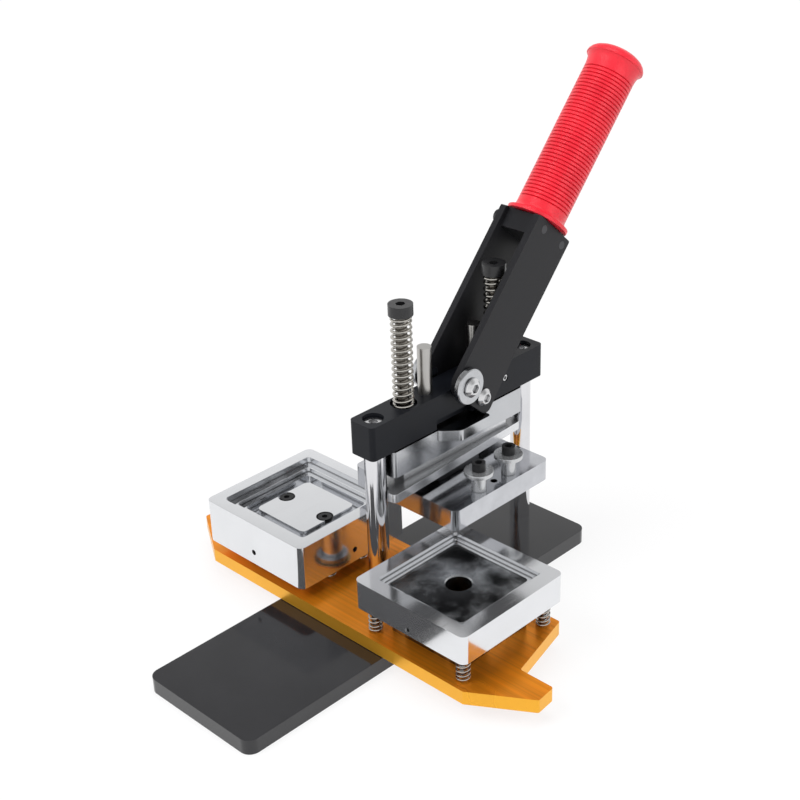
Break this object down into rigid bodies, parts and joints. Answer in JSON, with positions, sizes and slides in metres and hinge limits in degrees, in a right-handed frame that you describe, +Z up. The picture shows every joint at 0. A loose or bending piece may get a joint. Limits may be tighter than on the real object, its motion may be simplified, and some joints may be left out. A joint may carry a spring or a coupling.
{
  "type": "fridge magnet maker",
  "caption": "Hand press for square fridge magnets: sprung dies on a swinging table, a guided ram and a roller lever with a ribbed grip.",
  "frame": {"origin": "centre of the base plate's underside, which is also the axis of the front column that the table swings on", "axes": "+X from the operator's side to the back of the machine, where the second column stands; +Y to the side of the second die; +Z up"},
  "size_m": [0.4345, 0.3278, 0.3538],
  "materials": {
    "base_black": "glossy black baked enamel",
    "beam_black": "satin black",
    "lever_black": "satin black",
    "chrome": "polished",
    "ram_steel": "fine ground",
    "die_steel": "bright plated, machined faces",
    "core_black": "mirror-dark hardened steel",
    "gold": "gold anodised, brushed",
    "bronze": "turned",
    "collar_steel": "turned",
    "screw_zinc": "bright zinc",
    "screw_dark": "dark oxide",
    "screw_black": "black oxide",
    "spring_steel": "drawn wire",
    "grip_red": "satin red rubber"
  },
  "bodies": {
    "frame": {"base_plate": "base_black", "front_column": "chrome", "back_column": "chrome", "crossbeam": "beam_black", "column_screws": "screw_zinc", "column_collar": "collar_steel", "pivot_bolt": "screw_zinc", "pivot_washers": "screw_zinc", "set_screw": "screw_zinc"},
    "table": {"swing_table": "gold", "table_bushing": "bronze", "core_a": "core_black", "core_b": "die_steel", "pad_b": "die_steel", "pad_screws": "screw_dark", "core_screws": "screw_dark", "guide_pins_a": "screw_zinc", "guide_pins_b": "screw_zinc"},
    "first_die": {"die_a_ring": "die_steel", "die_a_springs": "spring_steel", "die_a_retainers": "screw_zinc"},
    "second_die": {"die_b_ring": "die_steel", "die_b_springs": "spring_steel", "die_b_retainers": "screw_dark"},
    "ram": {"ram_block": "ram_steel", "guide_rods": "ram_steel", "spring_screws": "screw_black", "return_springs": "spring_steel", "ram_spacer": "ram_steel", "cross_bar": "ram_steel", "stem_block": "ram_steel", "upper_die": "die_steel", "flanged_bushings": "screw_zinc", "bushing_screws": "screw_black", "upper_punch": "die_steel", "punch_screws": "screw_dark", "ram_bolts": "screw_dark"},
    "lever": {"lever_cheek_right": "lever_black", "lever_cheek_left": "lever_black", "lever_block": "lever_black", "block_bolts": "screw_black", "handle_rod": "ram_steel", "handle_grip": "grip_red", "roller_screws": "screw_zinc"},
    "right_roller": {"roller_right": "ram_steel"},
    "left_roller": {"roller_left": "ram_steel"}
  },
  "joints": [
    {"name": "lever_hinge", "type": "hinge", "parent": "frame", "child": "lever", "pos_m": [0.0894, 0, 0.1404], "axis": [0, -1, 0], "range_deg": [0, 66]},
    {"name": "ram_slide", "type": "slide", "parent": "frame", "child": "ram", "axis": [0, 0, -1], "range_m": [0, 0.0085], "stiffness_N_per_m": 3000, "springref_m": -0.012, "deforming": ["return_springs"]},
    {"name": "table_swing", "type": "hinge", "parent": "frame", "child": "table", "pos_m": [0, 0, 0], "axis": [0, 0, 1], "range_deg": [-90, 90]},
    {"name": "first_die_float", "type": "slide", "parent": "table", "child": "first_die", "axis": [0, 0, -1], "range_m": [0, 0.008], "stiffness_N_per_m": 4000, "springref_m": -0.006, "deforming": ["die_a_springs"]},
    {"name": "second_die_float", "type": "slide", "parent": "table", "child": "second_die", "axis": [0, 0, -1], "range_m": [0, 0.0055], "stiffness_N_per_m": 5000, "springref_m": -0.006, "deforming": ["die_b_springs"]},
    {"name": "right_roller_spin", "type": "hinge", "parent": "lever", "child": "right_roller", "pos_m": [0.07221, -0.0201, 0.15598], "axis": [0, 1, 0], "continuous": true},
    {"name": "left_roller_spin", "type": "hinge", "parent": "lever", "child": "left_roller", "pos_m": [0.07221, 0.0201, 0.15598], "axis": [0, 1, 0], "continuous": true}
  ],
  "couplings": [
    {"joint": "ram_slide", "follows": "lever_hinge", "m_per_rad": 0.007379}
  ]
}
